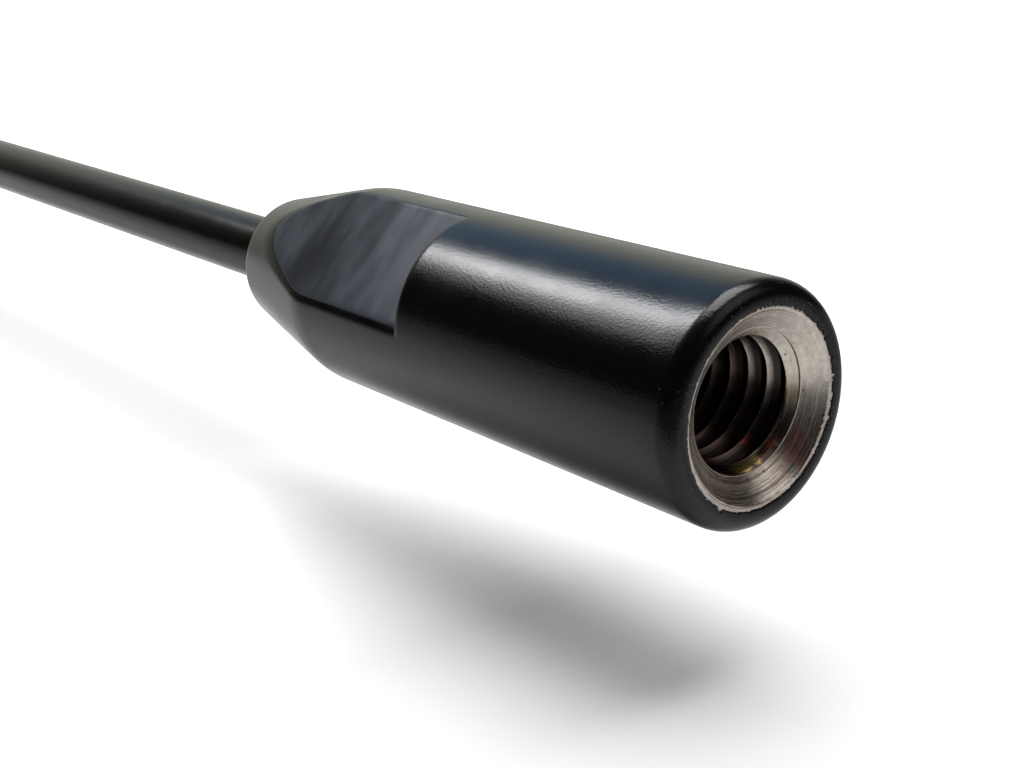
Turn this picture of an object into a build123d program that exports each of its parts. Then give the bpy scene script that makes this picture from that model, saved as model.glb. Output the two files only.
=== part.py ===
"""Screw-on car mast aerial: a turned ferrule with a tapped mouth, a rod and a tip cap.

Millimetres. The mast lies level along -X and the tapped mouth faces +X. The origin is on the
axis, where the foot of the countersink meets the wall of the tapped hole.
"""

import os
from math import radians, tan

from build123d import *

# Whole aerial, from the mouth to the end of the tip cap
overall_len = 400.0

# Ferrule, turned from round bar
ferrule_d = 8.0
barrel_len = 20.8  # parallel part, from the mouth to the start of the taper
taper_len = 6.6
tail_d = 5.2  # small end of the taper
lip_round = 0.6  # outer corner of the mouth
tail_round = 0.8  # outer corner of the tail

# Tapped hole for an M5 x 0.8 stud: the wall has the tap drill's size, the thread is left out
tap_drill_d = 4.2
thread_depth = 9.0  # wall of the hole, below the countersink
drill_point_angle = 118.0
countersink_d = 6.3
countersink_angle = 104.0

# Two milled wrench flats, which run out on the taper
across_flats = 6.3
flat_start = 13.9  # from the mouth to the shoulder at the front of the flats
flat_angle = 139.0  # turn of the first flat about +X, from +Y

# Rod and its seats
rod_d = 2.8
rod_chamfer = 0.3
socket_depth = 9.0  # rod's seat in the ferrule's tail
seat_clearance = 0.03  # between the rod and the wall of each seat

# Moulded tip cap
cap_d = 6.0
cap_len = 12.0
cap_mouth_d = 5.0
cap_mouth_round = 0.4
cap_seat_depth = 8.0  # rod's seat in the cap

# Places along the axis
mouth_x = (countersink_d - tap_drill_d) / 2 / tan(radians(countersink_angle / 2))
taper_x = mouth_x - barrel_len
tail_x = taper_x - taper_len
flat_x = mouth_x - flat_start
drill_tip_x = -thread_depth - tap_drill_d / 2 / tan(radians(drill_point_angle / 2))
socket_x = tail_x + socket_depth
tip_x = mouth_x - overall_len
cap_mouth_x = tip_x + cap_len
cap_seat_x = cap_mouth_x - cap_seat_depth

# Radii, and corner rounds that stay inside the faces they end on
ferrule_r = ferrule_d / 2
tail_r = tail_d / 2
seat_r = rod_d / 2 + seat_clearance
lip_fillet = min(lip_round, 0.9 * (ferrule_d - countersink_d) / 2)
tail_fillet = min(tail_round, 0.9 * (tail_r - seat_r))
cap_fillet = min(cap_mouth_round, 0.9 * (cap_mouth_d / 2 - seat_r))

os.makedirs("parts", exist_ok=True)

# Ferrule: half of its lengthwise section, turned about the axis, then milled
with BuildPart() as ferrule:
    with BuildSketch(Plane.XZ) as section:
        with BuildLine():
            Polyline(
                (drill_tip_x, 0),
                (-thread_depth, tap_drill_d / 2),
                (0, tap_drill_d / 2),
                (mouth_x, countersink_d / 2),
                (mouth_x, ferrule_r),
                (taper_x, ferrule_r),
                (tail_x, tail_r),
                (tail_x, seat_r),
                (socket_x, seat_r),
                (socket_x, 0),
                close=True,
            )
        make_face()
        mouth_corner = section.vertices().group_by(Axis.X)[-1].sort_by(Axis.Y)[-1]
        fillet(mouth_corner, lip_fillet)
        tail_corner = section.vertices().group_by(Axis.X)[0].sort_by(Axis.Y)[-1]
        fillet(tail_corner, tail_fillet)
    revolve(axis=Axis.X)

    # Wrench flats: everything outside the flats' planes, from the shoulder back past the tail
    with BuildSketch(Plane.YZ.offset(flat_x)):
        with PolarLocations(across_flats / 2, 2, start_angle=flat_angle):
            Rectangle(ferrule_d, 2 * ferrule_d, align=(Align.MIN, Align.CENTER))
    extrude(amount=tail_x - flat_x, mode=Mode.SUBTRACT)
ferrule.part.label = "ferrule"
export_step(ferrule.part, "parts/ferrule.step")

# Rod: plain bar from the bottom of the ferrule's socket to the bottom of the cap's seat
with BuildPart() as mast_rod:
    with BuildSketch(Plane.YZ.offset(socket_x)):
        Circle(rod_d / 2)
    extrude(amount=cap_seat_x - socket_x)
    chamfer(mast_rod.edges().filter_by(GeomType.CIRCLE), rod_chamfer)
mast_rod.part.label = "mast_rod"
export_step(mast_rod.part, "parts/mast_rod.step")

# Tip cap: slim at its mouth, full at its round end, with a blind seat for the rod
with BuildPart() as tip_cap:
    with BuildSketch(Plane.XZ) as cap_section:
        with BuildLine():
            dome = CenterArc((tip_x + cap_d / 2, 0), cap_d / 2, 90, 90)
            Polyline(
                dome @ 0,
                (cap_mouth_x, cap_mouth_d / 2),
                (cap_mouth_x, seat_r),
                (cap_seat_x, seat_r),
                (cap_seat_x, 0),
                dome @ 1,
            )
        make_face()
        cap_corner = cap_section.vertices().group_by(Axis.X)[-1].sort_by(Axis.Y)[-1]
        fillet(cap_corner, cap_fillet)
    revolve(axis=Axis.X)
tip_cap.part.label = "tip_cap"
export_step(tip_cap.part, "parts/tip_cap.step")
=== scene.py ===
"""Looks of the car mast aerial: a close view of its tapped ferrule over white paper.

The frame is in metres. Sizes below are in millimetres, as in the part's source, and MM turns them.
Angles round the axis go from +Y, which is at the right in the picture, to +Z.
"""

from math import atan, cos, pi, radians, sin, tan

import bmesh
import bpy
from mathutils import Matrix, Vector, noise


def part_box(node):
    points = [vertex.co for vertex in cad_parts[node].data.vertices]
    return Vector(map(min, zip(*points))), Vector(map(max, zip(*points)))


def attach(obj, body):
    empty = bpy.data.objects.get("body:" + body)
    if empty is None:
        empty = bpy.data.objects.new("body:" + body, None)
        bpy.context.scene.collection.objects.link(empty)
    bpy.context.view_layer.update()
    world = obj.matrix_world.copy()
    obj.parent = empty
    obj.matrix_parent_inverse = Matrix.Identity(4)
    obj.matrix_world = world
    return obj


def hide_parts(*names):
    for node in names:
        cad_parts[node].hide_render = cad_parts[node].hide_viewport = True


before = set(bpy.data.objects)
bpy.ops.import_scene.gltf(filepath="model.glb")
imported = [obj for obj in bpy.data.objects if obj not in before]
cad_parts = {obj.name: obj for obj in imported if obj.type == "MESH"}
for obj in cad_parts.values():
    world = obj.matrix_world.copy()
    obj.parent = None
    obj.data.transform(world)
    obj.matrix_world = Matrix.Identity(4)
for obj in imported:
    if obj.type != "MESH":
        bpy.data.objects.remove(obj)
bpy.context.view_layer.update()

MM = 0.001
AXIS, SIDE, UP = (1, 0, 0), (0, 1, 0), (0, 0, 1)

# Ferrule, from its CAD box and the part's own sizes
ferrule_low, ferrule_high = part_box("ferrule")
mouth_x = ferrule_high.x / MM
tail_x = ferrule_low.x / MM
ferrule_r = 4.0
barrel_len = 20.8
taper_x = mouth_x - barrel_len
tail_r = 2.6
lip_round = 0.6
tail_round = 0.8
seat_r = 1.43
socket_depth = 9.0

# Tapped hole: M5 x 0.8, right-handed
tap_drill_r = 2.1
thread_depth = 9.0
drill_point = radians(118 / 2)
countersink_r = 3.15
thread_pitch = 0.8
thread_minor_r = 2.067
thread_root_r = 2.4
thread_turns = 12
thread_end = 0.26  # middle of the last groove where it has run out, at the angle 0
thread_fade_in, thread_fade_out = 2.0, 1.65  # share of the groove's depth that a turn gains or loses

# Thread's lead-in, which lies behind the countersink and is not quite in line with it
lead_step = 0.075
lead_mean_r = 2.35
lead_offset = 0.08
# Painted highlight along the foot of the countersink, in the pale chip finish
foot_highlight_band = 0.022  # bright edge at the foot of the countersink

# Wrench flats
across_flats = 6.3
flat_off = across_flats / 2
flat_start = 13.9
shoulder_x = mouth_x - flat_start
flat_angle = radians(139)

# Coat: how thick it is, and how far it is chipped back from the countersink
coat = 0.05
bare_x = mouth_x - coat
chip_near = 0.025
chip_wide = 0.06
chip_least, chip_most = 0.018, 0.19
coat_edge_round = 0.035
notch_angle, notch_half_turn, notch_depth = radians(239), 0.045, 0.16

# Worn rim of the countersink and its burr
worn_rim = 0.04
burr_mean, burr_most, burr_half = 0.022, 0.045, 0.012
least_step = 0.004  # keeps neighbouring rings of the mesh apart

# Rounded edges that only the coat has
edge_round = 0.15
edge_uneven = 0.1
shoulder_round = 0.1
taper_round = 0.12

# Fineness of the ferrule's mesh
ferrule_segments, thread_segments = 480, 120
wall_steps, corner_steps, barrel_steps, flat_steps, taper_steps = 18, 8, 16, 6, 40
cone_radii = (2.6, 2.8, 3.0)
sharp_angle = radians(32)

# Camera, fitted to the photo, and the place it looks at, both from the middle of the mouth
camera_from = (28.84, -32.71, 13.95)
camera_aim = (-7.04, -4.08, -0.09)
camera_lens, camera_sensor = 52.67, 36

# White paper under the aerial
floor_z = -9.2
floor_half = 3000


def mesh_object(name, points, faces):
    """New object from points in millimetres."""
    mesh = bpy.data.meshes.new(name)
    mesh.from_pydata([(x * MM, y * MM, z * MM) for x, y, z in points], [], faces)
    obj = bpy.data.objects.new(name, mesh)
    bpy.context.scene.collection.objects.link(obj)
    return obj


def turned(name, rings, segments):
    """Closed body turned about X. A ring is (x, r, finish): x and r are numbers or functions of the angle,
    r = 0 is a point on the axis, and finish is the material slot of the band that follows the ring."""
    points, faces, finishes, starts = [], [], [], []
    for x, r, _ in rings:
        starts.append(len(points))
        for k in range(1 if r == 0 else segments):
            a = 2 * pi * k / segments
            px = x(a) if callable(x) else x
            pr = r(a) if callable(r) else r
            points.append((px, pr * cos(a), pr * sin(a)))
    for i in range(len(rings) - 1):
        first, second = rings[i], rings[i + 1]
        for k in range(segments):
            j = (k + 1) % segments
            a0 = starts[i] + (0 if first[1] == 0 else k)
            a1 = starts[i] + (0 if first[1] == 0 else j)
            b0 = starts[i + 1] + (0 if second[1] == 0 else k)
            b1 = starts[i + 1] + (0 if second[1] == 0 else j)
            faces.append(list(dict.fromkeys((a0, b0, b1, a1))))
            finishes.append(first[2])
    obj = mesh_object(name, points, faces)
    obj.data.polygons.foreach_set("material_index", finishes)
    return obj


def tap(name, end_x, turns, segments, finish):
    """Tap-shaped cutter: a right-handed screw that ends at end_x at the angle 0. Its flanks meet in sharp
    crests, and it gets shallow over about half a turn at both ends."""
    half = [
        (0.06, thread_root_r),  # flat root, from the middle of the groove
        (0.11, thread_root_r - 0.02),  # blunt corner beside it
        (0.38, thread_minor_r),  # flank, up to the wall
        (0.395, thread_minor_r - 0.018),  # inside the hole, clear of the wall
    ]
    profile = [(-along, r) for along, r in reversed(half)] + half
    wide = len(profile)
    rows = turns * wide
    core_r = half[-1][1]
    points = []
    for k in range(segments):
        a = 2 * pi * k / segments
        for m in range(rows):
            along, r = profile[m % wide]
            turn = m // wide + k / segments
            depth = min(1.0, thread_fade_in * turn, thread_fade_out * (turns - 1 - turn))
            r = core_r + (r - core_r) * max(0.0, depth)
            points.append((end_x + thread_pitch * (turn - turns + 1) + along, r * cos(a), r * sin(a)))

    def at(k, m):
        return k * rows + m

    faces = []
    last = segments - 1
    for k in range(last):
        for m in range(rows - 1):
            faces.append((at(k, m), at(k + 1, m), at(k + 1, m + 1), at(k, m + 1)))
    for m in range(rows - wide - 1):
        faces.append((at(last, m), at(0, m + wide), at(0, m + wide + 1), at(last, m + 1)))

    # Cone at each end, from the open edge to a tip on the axis
    low_edge = [at(k, 0) for k in range(segments)] + [at(0, m) for m in range(wide, 0, -1)]
    high_edge = [at(k, rows - 1) for k in range(segments)]
    high_edge += [at(last, m) for m in range(rows - 2, rows - wide - 2, -1)]
    low_tip_x = end_x - thread_pitch * (turns + 1)
    high_tip_x = end_x + 2 * thread_pitch
    for edge, x in ((low_edge, low_tip_x), (high_edge, high_tip_x)):
        points.append((x, 0, 0))
        tip = len(points) - 1
        for n, v in enumerate(edge):
            faces.append((v, edge[(n + 1) % len(edge)], tip))
    obj = mesh_object(name, points, faces)
    obj.data.polygons.foreach_set("material_index", [finish] * len(faces))
    return obj


def face_out(obj):
    """Turns all faces of a closed body outwards."""
    bm = bmesh.new()
    bm.from_mesh(obj.data)
    bmesh.ops.recalc_face_normals(bm, faces=bm.faces)
    bm.to_mesh(obj.data)
    bm.free()


def cut(body, cutter):
    """Cuts a closed cutter out of the body and deletes it."""
    face_out(cutter)
    for slot in body.data.materials:
        cutter.data.materials.append(slot)
    step = body.modifiers.new("cut", "BOOLEAN")
    step.object = cutter
    step.operation = "DIFFERENCE"
    step.solver = "EXACT"
    shape = body.evaluated_get(bpy.context.evaluated_depsgraph_get())
    whole = bpy.data.meshes.new_from_object(shape)
    body.modifiers.clear()
    body.data = whole
    bpy.data.objects.remove(cutter)


def opaque(colour, factor=1.0):
    """Colour with full alpha, made darker or paler by a factor."""
    return tuple(factor * c for c in colour) + (1,)


class Nodes:
    """Node tree of a material or world, with short calls for adding and joining nodes."""

    def __init__(self, owner, target, **settings):
        owner.use_nodes = True
        self.owner = owner
        self.tree = owner.node_tree
        self.target = self.tree.nodes[target]
        for socket, value in settings.items():
            self.target.inputs[socket.replace("_", " ")].default_value = value

    def node(self, kind, inputs=None, **settings):
        made = self.tree.nodes.new("ShaderNode" + kind)
        for key, value in settings.items():
            setattr(made, key, value)
        for socket, value in (inputs or {}).items():
            self.fill(made.inputs[socket], value)
        return made

    def fill(self, socket, value):
        """Joins a socket to another one, or sets it to a value."""
        if isinstance(value, bpy.types.NodeSocket):
            self.tree.links.new(value, socket)
        else:
            socket.default_value = value

    def use(self, socket, value):
        self.tree.links.new(value, self.target.inputs[socket])

    def place(self, scale=(1, 1, 1)):
        """Place on the object in millimetres, stretched by a scale along each axis."""
        place = self.node("TexCoord").outputs["Object"]
        return self.stretch(place, tuple(s / MM for s in scale))

    def vector(self, operation, inputs):
        return self.node("VectorMath", dict(enumerate(inputs)), operation=operation).outputs

    def stretch(self, vector, scale):
        return self.vector("MULTIPLY", (vector, scale))[0]

    def dot(self, vector, direction):
        return self.vector("DOT_PRODUCT", (vector, direction))["Value"]

    def math(self, operation, a, b=0.0):
        return self.node("Math", {0: a, 1: b}, operation=operation).outputs[0]

    def noise(self, vector, scale, detail=2.0, rough=0.5):
        inputs = {"Vector": vector, "Scale": scale, "Detail": detail, "Roughness": rough}
        return self.node("TexNoise", inputs).outputs["Fac"]

    def specks(self, vector, scale, inner, outer, share):
        """Round specks, each 1 in its middle and 0 past its edge, in a share of the cells of a pattern."""
        cells = self.node("TexVoronoi", {"Vector": vector, "Scale": scale, "Randomness": 1.0}).outputs
        speck = self.span(cells["Distance"], inner, outer, 1.0, 0.0)
        red = self.dot(cells["Color"], (1, 0, 0))
        return self.math("MULTIPLY", speck, self.math("LESS_THAN", red, share))

    def span(self, value, low, high, to_low, to_high, soft=False):
        """Number from one range turned into another, and kept inside it."""
        made = self.node("MapRange", {0: value, 1: low, 2: high, 3: to_low, 4: to_high})
        made.interpolation_type = "SMOOTHSTEP" if soft else "LINEAR"
        return made.outputs[0]

    def blend(self, fac, a, b):
        """Colour between two colours."""
        made = self.node("Mix", data_type="RGBA")
        for name, value in (("Factor", fac), ("A", a), ("B", b)):
            self.fill(next(s for s in made.inputs if s.name == name and s.enabled), value)
        return next(s for s in made.outputs if s.enabled)

    def bump(self, height, strength, distance_mm):
        made = self.node("Bump", {"Height": height, "Strength": strength, "Distance": distance_mm * MM})
        self.use("Normal", made.outputs[0])


def milled(s, at, colour, rough, height):
    """Colour, roughness and height of the ferrule's coat with its flats: they are bluish and duller, with the
    cutter's streaks across the axis, and the edge of their shoulder is worn in places and paler, partly a
    painted highlight."""
    dark, pale, worn_and_highlight = (0.001, 0.004, 0.012, 1), (0.013, 0.025, 0.050, 1), (0.13, 0.13, 0.11, 1)
    streak_scale, wear_scale, border = 0.8, 3.0, 0.004
    x = s.dot(at, AXIS)
    off = s.math("ABSOLUTE", s.dot(at, (0, cos(flat_angle), sin(flat_angle))))
    across = s.dot(at, (0, sin(flat_angle), -cos(flat_angle)))
    behind = s.span(x, shoulder_x - border, shoulder_x, 1.0, 0.0)
    on_flat = s.math("MULTIPLY", s.span(off, flat_off - 0.03, flat_off - 0.01, 0.0, 1.0), behind)

    # Streaks, paler towards the shoulder and the upper edge
    streak = s.noise(s.stretch(at, (1.0, 0.3, 0.3)), streak_scale, 3.0, 0.5)
    streak = s.span(streak, 0, 1, 0.14, 0.86)
    streak = s.math("ADD", streak, s.span(x, tail_x + 4, shoulder_x, -0.15, 0.08))
    streak = s.math("ADD", streak, s.span(across, -2, 2, -0.05, 0.05))
    colour = s.blend(on_flat, colour, s.blend(s.span(streak, 0.24, 0.68, 0.0, 1.0), dark, pale))

    # Worn, pale line along the shoulder's edge, partly a painted highlight
    from_line = s.math("ABSOLUTE", s.math("SUBTRACT", x, shoulder_x + 0.05))
    edge = s.span(from_line, 0.02, 0.05, 1.0, 0.0)
    edge = s.math("MULTIPLY", edge, s.span(off, flat_off + 0.02, flat_off + 0.05, 0.0, 1.0))
    edge = s.math("MULTIPLY", edge, s.span(s.noise(at, wear_scale, 3.0), 0.42, 0.62, 0.1, 0.9))
    colour = s.blend(edge, colour, worn_and_highlight)

    rough = s.span(on_flat, 0, 1, rough, s.span(streak, 0.24, 0.64, 0.90, 0.42))
    height = s.span(on_flat, 0, 1, height, streak)
    return colour, rough, height


def coat_material(name, tone, shine, rough, peel, flats=False):
    """Black coat: orange peel, uneven gloss and specks of dust, most of them near the mouth. With flats
    it has the finish of the ferrule's flats as well."""
    dust_grey = (0.30, 0.29, 0.28, 1)
    broad_scale, dust_scale, peel_scale = 0.6, 10.0, 13.0
    s = Nodes(bpy.data.materials.new(name), "Principled BSDF", Specular_IOR_Level=shine)
    at = s.place()
    broad = s.noise(at, broad_scale, 3.0)
    dusty = s.span(s.dot(at, AXIS), mouth_x - 1.6, mouth_x - 0.2, 0.004, 0.16)
    dust = s.specks(at, dust_scale, 0.08, 0.16, dusty)
    colour = s.blend(broad, opaque(tone, 0.7), opaque(tone, 1.3))
    colour = s.blend(dust, colour, dust_grey)
    gloss = s.span(broad, 0.3, 0.7, rough - 0.03, rough + 0.03)
    height = s.noise(at, peel_scale, 1.0)
    if flats:
        colour, gloss, height = milled(s, at, colour, gloss, height)
    s.use("Base Color", colour)
    s.use("Roughness", gloss)
    s.bump(height, peel, 0.02)
    return s.owner


def steel_material(name, tint, stain, rough, lines, warm_glints=(), metal=1.0, root_r=None):
    """Bare turned steel: mottled, with dark rings along the tool's lines, stronger towards the bottom, a few
    pits, and painted warm reflections round places of a size and colour. With root_r it is painted black
    towards that radius, as shade in the grooves, and darker and brownish in the lower half, as painted shade."""
    low_shade_brown, ring_dark = (0.09, 0.055, 0.048, 1), (0.10, 0.085, 0.075, 1)
    pit_and_shade_black = (0.02, 0.016, 0.014, 1)
    ring_scale, cloud_scale, mottle_scale, pit_scale = 16.0, 2.2, 4.5, 4.5
    turning = {"Anisotropic": 0.6, "Anisotropic_Rotation": 0.25}
    s = Nodes(bpy.data.materials.new(name), "Principled BSDF", Metallic=metal, **turning)
    at = s.place()
    rings = s.noise(s.place((1.0, 0.01, 0.01)), ring_scale, 4.0, 0.7)
    cloud = s.noise(at, cloud_scale, 4.0)
    mottle = s.noise(at, mottle_scale, 5.0, 0.65)
    colour = s.blend(s.span(mottle, 0.38, 0.64, 0.0, 0.9), opaque(tint), opaque(stain))
    if root_r:
        # Painted shade with a brownish tone: the thread gets darker towards the bottom of the hole and deeper
        # in
        height = s.math("ADD", s.dot(at, (0.8, 0, 1)), s.span(cloud, 0.3, 0.7, -0.3, 0.3))
        colour = s.blend(s.span(height, -1.7, 0.3, 0.95, 0.0, soft=True), colour, low_shade_brown)
    groove = s.span(s.dot(at, UP), -2.4, 0.3, 0.75, 0.15)
    groove = s.math("MULTIPLY", groove, s.span(rings, 0.40, 0.52, 1.0, 0.0))
    colour = s.blend(groove, colour, ring_dark)
    # Painted warm reflections: each glint tints the steel round its place
    for place, size, hue in warm_glints:
        reach = s.vector("DISTANCE", (at, place))["Value"]
        reach = s.math("ADD", reach, s.span(cloud, 0.3, 0.7, -0.6 * size, 0.6 * size))
        reach = s.math("ADD", reach, s.span(rings, 0.4, 0.6, 0.7 * size, 0.0))
        glint_mask = s.span(reach, 0.5 * size, 1.2 * size, 0.9, 0.0, soft=True)
        colour = s.blend(glint_mask, colour, opaque(hue))
    pit_and_root_shade = s.specks(at, pit_scale, 0.10, 0.2, 0.12)
    # Painted shade: towards the root radius the thread is painted black, deep in its grooves
    if root_r:
        out = s.vector("LENGTH", (s.stretch(at, (0, 1, 1)),))["Value"]
        out = s.math("ADD", out, s.span(s.dot(at, AXIS), -0.35, -0.1, 0.0, -0.4))
        pit_and_root_shade = s.math("MAXIMUM", pit_and_root_shade, s.span(out, root_r - 0.32, root_r - 0.16, 0.0, 0.95))
    s.use("Base Color", s.blend(pit_and_root_shade, colour, pit_and_shade_black))
    s.use("Roughness", s.span(rings, 0.3, 0.7, rough - 0.06, rough + 0.08))
    s.use("Tangent", s.node("Tangent", direction_type="RADIAL", axis="X").outputs[0])
    s.bump(rings, lines, 0.03)
    return s.owner


# Painted warm reflections on the bare steel, as glints: place, size and colour
red_glint, brown_glint = (0.55, 0.14, 0.09), (0.64, 0.35, 0.31)
gold_glint, straw_glint = (0.80, 0.62, 0.24), (0.60, 0.50, 0.30)
cone_glints = [
    ((0.45, 2.15, -1.62), 0.75, brown_glint),
    ((0.62, 1.88, -1.98), 0.6, brown_glint),
]
thread_glints = [
    ((-1.12, 1.34, -1.74), 0.4, red_glint),
    ((-0.18, 1.43, -1.67), 0.4, red_glint),
    ((-0.19, 0.64, -2.1), 0.42, gold_glint),
    ((-0.14, 0.15, -2.2), 0.4, gold_glint),
    ((-0.04, 2.24, 0.10), 0.6, straw_glint),
]

ferrule_coat = coat_material(
    "ferrule_coat", tone=(0.0015, 0.0015, 0.0020), shine=0.36, rough=0.2, peel=0.3, flats=True
)
bare_steel = steel_material(
    "bare_steel", tint=(0.66, 0.61, 0.55), stain=(0.50, 0.44, 0.38), rough=0.24, lines=1.0, warm_glints=cone_glints
)
thread_steel = steel_material(
    "thread_steel",
    tint=(0.62, 0.57, 0.51),
    stain=(0.48, 0.41, 0.35),
    rough=0.24,
    lines=0.5,
    warm_glints=thread_glints,
    root_r=thread_root_r,
)
# Pale chips of the coat's rim; the same finish paints a highlight along the countersink's foot
chips_and_highlight = steel_material(
    "chips_and_highlight", tint=(0.93, 0.86, 0.78), stain=(0.66, 0.57, 0.50), rough=0.35, lines=1.0, metal=0.05
)
rod_coat = coat_material("rod_coat", tone=(0.003, 0.003, 0.003), shine=0.2, rough=0.2, peel=0.1)
cap_plastic = coat_material("cap_plastic", tone=(0.010, 0.010, 0.011), shine=0.3, rough=0.5, peel=0.5)

# Material slots of the ferrule
ferrule_finishes = (ferrule_coat, bare_steel, thread_steel, chips_and_highlight)
COAT, STEEL, THREAD, CHIP_AND_HIGHLIGHT = range(len(ferrule_finishes))


def ragged(a, grain, seed):
    """Noise round the mouth, about -1 to 1, with a number of grains to a radian."""
    falloff, lacunarity, octaves = 0.7, 2.0, 3
    return noise.fractal(Vector((grain * cos(a), grain * sin(a), seed)), falloff, lacunarity, octaves)


def facing(a, degrees):
    """How far an angle faces a direction: 1 in it, and 0 from a quarter turn away."""
    return max(0.0, cos(a - radians(degrees)))


def on_cone(r):
    """Place along the axis of the bare countersink at a radius."""
    return bare_x * (r - tap_drill_r) / (countersink_r - tap_drill_r)


def lead_r(a):
    """Radius of the step between the thread's lead-in and the countersink."""
    return lead_mean_r + lead_offset * cos(a - radians(80))


def lead_depth(a):
    """Depth of that step: it is deepest at the upper right and fades out below."""
    return max(least_step, lead_step * facing(a, 42) ** 0.6)


def foot_highlight_r(a):
    """Outer radius of the painted highlight, a pale band at the foot of the countersink."""
    return lead_r(a) + foot_highlight_band


def worn_r(a):
    """Radius where the countersink's worn, crumbly rim begins. It is wider at the lower left and right."""
    low_left = facing(a, 215) ** 4
    crumbs = max(0.0, 0.03 + 0.05 * ragged(a, 26, 5.0))
    return countersink_r - worn_rim - 0.1 * low_left - facing(a, 35) * crumbs


def burr(a):
    """Height of the burr on the rim of the countersink."""
    return min(burr_most, max(least_step, burr_mean + 0.02 * ragged(a, 12, 7.0)))


def burr_r(a):
    """Radius of the burr's ragged top."""
    return countersink_r - burr_half + burr_half * ragged(a, 45, 9.0)


def coat_edge(a):
    """Ragged inner edge of the coat at the mouth, as a radius: crumbly at the right, and chipped wider at
    the lower left, with one notch."""
    low_left = facing(a, 236) ** 3
    right = facing(a, 30) ** 0.5
    crumbs = max(0.0, ragged(a, 34, 3.0)) * (0.05 + 0.16 * right)
    notch = max(0.0, 1 - abs(a - notch_angle) / notch_half_turn) * notch_depth
    chip = chip_near + 0.025 * ragged(a, 9, 0.0) + crumbs + low_left * chip_wide + notch
    return countersink_r + min(chip_most, max(chip_least, chip))


def flat_r(a):
    """Distance from the axis to the nearer flat, in the direction of an angle."""
    least_cos = 0.05  # beside the flats, where there is no such distance
    return flat_off / max(least_cos, abs(cos(a - flat_angle)))


def rounded(first, second, size):
    """Smaller of two radii, with the edge between them rounded off."""
    near = max(0.0, 1 - abs(first - second) / size)
    return min(first, second) - near * near * size / 4


def flatted(r, a):
    """Radius of the turned body after the flats are milled. One long edge of each flat is rounder than the
    other."""
    return rounded(r, flat_r(a), edge_round + edge_uneven * sin(2 * (a - flat_angle)))


def cone_ring(r, finish):
    """Ring on the countersink's cone at a radius that changes with the angle."""
    return (lambda a: on_cone(r(a)), r, finish)


def mouth_rings():
    """Section from the drill's point, along the hole and the countersink, to the outside of the lip."""
    rings = [(-thread_depth - tap_drill_r / tan(drill_point), 0, STEEL)]
    rings += [(-thread_depth * k / wall_steps, thread_minor_r, STEEL) for k in range(wall_steps, 0, -1)]

    # Lead-in, countersink and worn rim
    rings += [
        (lambda a: on_cone(thread_minor_r) - lead_depth(a), thread_minor_r, THREAD),
        (lambda a: on_cone(lead_r(a)) - lead_depth(a), lead_r, STEEL),
        # Painted highlight: a narrow pale band along the countersink's foot
        cone_ring(lead_r, CHIP_AND_HIGHLIGHT),
        cone_ring(foot_highlight_r, STEEL),
    ]
    rings += [(on_cone(r), r, STEEL) for r in cone_radii]
    rings += [
        cone_ring(worn_r, CHIP_AND_HIGHLIGHT),
        (lambda a: bare_x + burr(a), burr_r, CHIP_AND_HIGHLIGHT),
        (lambda a: bare_x + 0.8 * burr(a), countersink_r + burr_half, CHIP_AND_HIGHLIGHT),
    ]

    # Coat's ragged edge and the lip
    rings += [
        (bare_x, coat_edge, COAT),
        (mouth_x - 0.3 * coat, lambda a: coat_edge(a) + least_step, COAT),
        (mouth_x, lambda a: coat_edge(a) + coat_edge_round, COAT),
    ]
    for k in range(corner_steps + 1):
        a = radians(90 * k / corner_steps)
        rings.append((mouth_x - lip_round * (1 - cos(a)), ferrule_r - lip_round * (1 - sin(a)), COAT))
    return rings


def barrel_rings():
    """Section along the barrel to the flats' shoulder, whose edge is rounded only where the flats are."""
    before_shoulder = 0.3
    start_x = mouth_x - lip_round
    run = shoulder_x + before_shoulder - start_x
    rings = [(start_x + run * k / barrel_steps, ferrule_r, COAT) for k in range(1, barrel_steps + 1)]
    for degrees in (0, 30, 60, 90):
        a = radians(degrees)
        low = ferrule_r - shoulder_round * (1 - cos(a))
        x = shoulder_x + shoulder_round * (1 - sin(a))
        rings.append((x, lambda a, low=low: max(low, flatted(ferrule_r, a)), COAT))
    return rings


def tail_rings():
    """Section along the flats on the barrel and the taper, round the tail and into the rod's socket."""
    slope = (ferrule_r - tail_r) / (taper_x - tail_x)
    turn = pi / 2 - atan(slope)
    tangent = tail_round * tan(turn / 2)
    end_x = tail_x + tangent * cos(atan(slope))

    # Rings lie closer to each other where the barrel turns into the taper
    past_shoulder, near_corner, corner_gap, corner_rings = 0.01, 0.6, 0.1, 13
    flat_run = taper_x + (near_corner + past_shoulder) - shoulder_x
    taper_run = end_x - taper_x + near_corner
    places = [shoulder_x - past_shoulder + flat_run * k / flat_steps for k in range(flat_steps)]
    places += [taper_x + near_corner - corner_gap * k for k in range(corner_rings)]
    places += [taper_x - near_corner + taper_run * k / taper_steps for k in range(1, taper_steps + 1)]
    rings = []
    for x in places:
        turned_r = rounded(ferrule_r, ferrule_r + slope * (x - taper_x), taper_round)
        rings.append((x, lambda a, r=turned_r: flatted(r, a), COAT))

    for k in range(1, corner_steps + 1):
        a = pi / 2 + atan(slope) + turn * k / corner_steps
        rings.append((tail_x + tail_round * (1 + cos(a)), tail_r - tangent + tail_round * sin(a), COAT))
    socket_x = tail_x + socket_depth
    rings += [(tail_x, seat_r, COAT), (socket_x, seat_r, COAT), (socket_x, 0, COAT)]
    return rings


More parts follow.
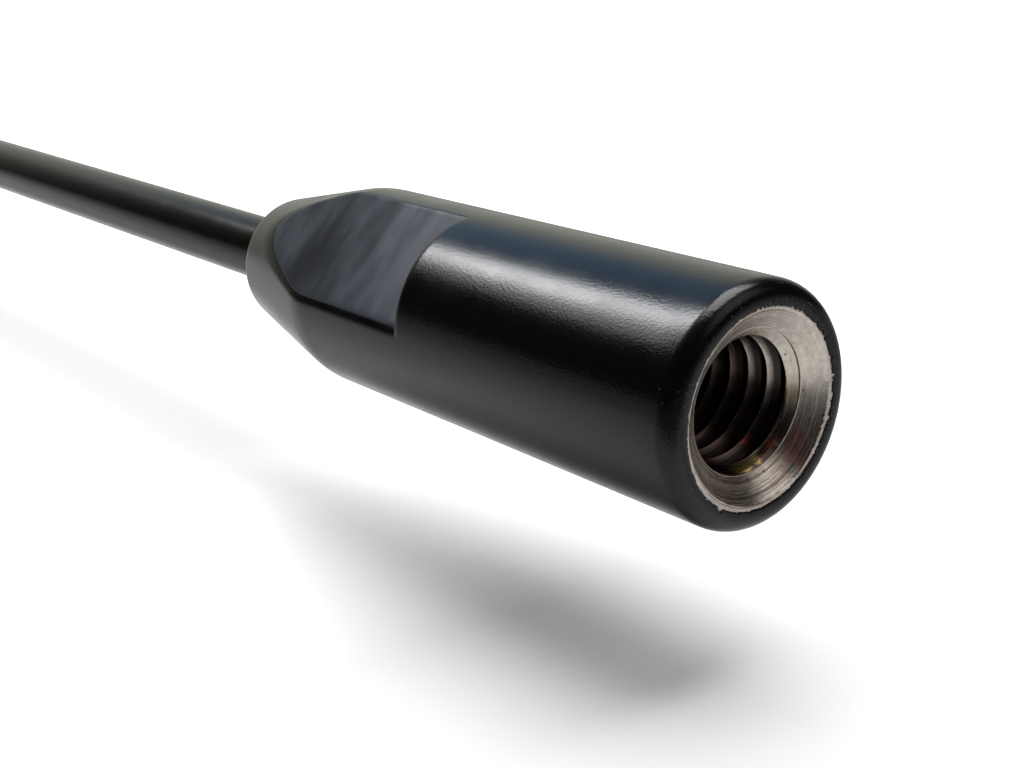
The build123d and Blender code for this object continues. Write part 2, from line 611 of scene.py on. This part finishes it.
# Ferrule, with its thread cut
ferrule = turned("ferrule_coated", mouth_rings() + barrel_rings() + tail_rings(), ferrule_segments)
for finish in ferrule_finishes:
    ferrule.data.materials.append(finish)
face_out(ferrule)
cut(ferrule, tap("tap", thread_end, thread_turns, thread_segments, THREAD))
ferrule.data.shade_smooth()
ferrule.data.set_sharp_from_angle(angle=sharp_angle)
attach(ferrule, "root")
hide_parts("ferrule")

# Rod and tip cap keep their CAD shapes
for node, finish in (("mast_rod", rod_coat), ("tip_cap", cap_plastic)):
    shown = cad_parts[node]
    shown.data.materials.clear()
    shown.data.materials.append(finish)

# Camera
mouth = Vector((ferrule_high.x, 0, 0))
camera = bpy.data.objects.new("camera", bpy.data.cameras.new("camera"))
bpy.context.scene.collection.objects.link(camera)
camera.data.lens = camera_lens
camera.data.sensor_width = camera_sensor
camera.data.sensor_fit = "HORIZONTAL"
camera.data.clip_start = 0.001
camera.location = mouth + Vector(camera_from) * MM
aim = mouth + Vector(camera_aim) * MM
camera.rotation_mode = "QUATERNION"
camera.rotation_quaternion = (aim - camera.location).to_track_quat("-Z", "Y")
bpy.context.scene.camera = camera


def paper_material():
    """White paper that glows a little for the camera and in reflections, a painted light that lightens the
    shadow. In reflections its colour is painted darker to both sides of the mast, and in front of the mouth
    with a painted shadow of the camera that stands close by."""
    dark = (0.02, 0.018, 0.016, 1)
    mirrored_glow = 0.45
    s = Nodes(bpy.data.materials.new("paper"), "Principled BSDF", Roughness=0.9, Emission_Color=(1, 1, 1, 1))
    at = s.place()
    grain = s.noise(at, 1.5, 4.0)
    path = s.node("LightPath").outputs

    # Colour, painted darker where only reflections see it
    y = s.dot(at, SIDE)
    aside = s.span(s.math("ABSOLUTE", y), 2, 50, 0.1, 0.75)
    behind = s.span(y, 1, 9, 0.0, 0.45)
    ahead = s.span(s.dot(at, (0.8, -0.6, 0)), 12, 28, 0.0, 0.9)
    dim = s.math("MAXIMUM", s.math("MAXIMUM", aside, behind), ahead)
    shaded = s.math("MULTIPLY", dim, path["Is Glossy Ray"])
    white = s.blend(grain, (0.90, 0.90, 0.90, 1), (0.94, 0.94, 0.94, 1))
    s.use("Base Color", s.blend(shaded, white, dark))

    # Glow, painted light that lightens the shadow towards the tail: weaker under the mouth, where the shadow
    # is darkest, and full far from the aerial
    along = s.dot(at, (-1, 0, 0))
    glow = s.math("MULTIPLY", s.span(along, 8, 22, 0.21, 0.64), s.span(along, 24, 30, 1.0, 0.66))
    glow = s.math("MAXIMUM", glow, s.span(s.vector("LENGTH", (at,))["Value"], 60, 500, 0.0, 1.0))
    # Painted light in reflections as well, except where the paper is painted darker
    mirrored = s.math("MULTIPLY", s.math("SUBTRACT", path["Is Glossy Ray"], shaded), mirrored_glow)
    seen = s.math("ADD", path["Is Camera Ray"], mirrored)
    s.use("Emission Strength", s.math("MULTIPLY", glow, seen))
    s.bump(grain, 0.2, 0.1)
    return s.owner


corners = [(x * floor_half, y * floor_half, 0) for x, y in ((-1, -1), (1, -1), (1, 1), (-1, 1))]
floor = mesh_object("paper", corners, [(0, 1, 2, 3)])
floor.location.z = floor_z * MM
floor.data.materials.append(paper_material())


def lamp(name, direction, distance, size, power, colour):
    """Soft light of a width and height in metres that faces the ferrule from a direction."""
    light = bpy.data.objects.new(name, bpy.data.lights.new(name, "AREA"))
    bpy.context.scene.collection.objects.link(light)
    light.data.shape = "RECTANGLE"
    light.data.size, light.data.size_y = size
    light.data.energy = power
    light.data.color = colour
    toward = Vector(direction).normalized()
    light.location = toward * distance
    light.rotation_mode = "QUATERNION"
    light.rotation_quaternion = toward.to_track_quat("Z", "Y")
    return light


lamp("overhead", (-0.08, 0.21, 0.97), distance=0.8, size=(0.58, 0.58), power=6.2, colour=(1.0, 1.0, 1.0))
for name, direction, power in (
    ("window", (-0.66, -0.15, 0.74), 3.8),
    ("curtain", (-0.63, -0.32, 0.71), 0.9),
):
    window = lamp(name, direction, distance=0.9, size=(0.19, 0.46), power=power, colour=(0.97, 0.98, 1.0))
    window.visible_diffuse = False


def room_world():
    """Room, as the coat and the steel mirror it: dark and brownish, with pale olive and blue behind the mast
    and a warm white in front of the mouth. The camera sees it white."""
    s = Nodes(bpy.data.worlds.new("room"), "Background")
    toward = s.node("TexCoord").outputs["Generated"]
    colour = (0.034, 0.030, 0.028, 1)
    for direction, inner, outer, light in (
        ((-0.85, 0.50, 0.10), 22, 57, (0.66, 0.68, 0.60, 1)),
        ((-0.70, 0.25, 0.67), 6, 22, (0.29, 0.51, 0.78, 1)),
        ((0.66, 0.35, 0.66), 4, 27, (0.85, 0.80, 0.76, 1)),
    ):
        near = s.dot(toward, Vector(direction).normalized())
        inside = s.span(near, cos(radians(outer)), cos(radians(inner)), 0, 1, soft=True)
        colour = s.blend(inside, colour, light)
    path = s.node("LightPath").outputs
    s.use("Color", s.blend(path["Is Camera Ray"], colour, (1, 1, 1, 1)))
    return s.owner


bpy.context.scene.world = room_world()

bpy.context.scene.view_settings.view_transform = "Standard"
